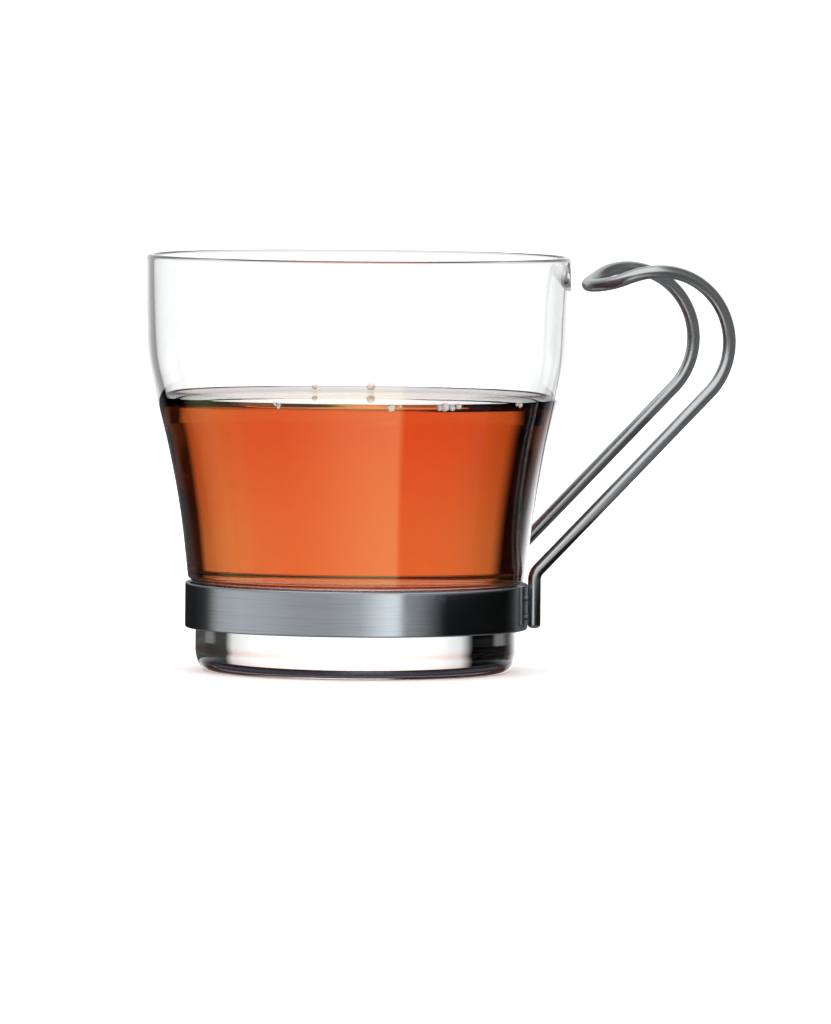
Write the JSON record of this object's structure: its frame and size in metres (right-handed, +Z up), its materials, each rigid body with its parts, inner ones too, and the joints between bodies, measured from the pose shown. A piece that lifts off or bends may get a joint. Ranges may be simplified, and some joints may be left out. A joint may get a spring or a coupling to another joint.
{
  "type": "glass tea cup with tea",
  "caption": "Wide flared glass cup of tea in a steel band with a bent-wire handle; stands on its flat foot.",
  "frame": {"origin": "on the cup's axis, in the plane that its flat foot stands on", "axes": "+Z up along the cup's axis, +X from the axis towards the wire handle"},
  "size_m": [0.1101, 0.08, 0.0783],
  "materials": {
    "clear_glass": "polished",
    "tea": "gloss",
    "band_steel": "satin",
    "wire_steel": "polished"
  },
  "bodies": {
    "root": {"glass_cup": "clear_glass", "tea": "tea", "steel_band": "band_steel", "wire_handle": "wire_steel"}
  },
  "joints": []
}
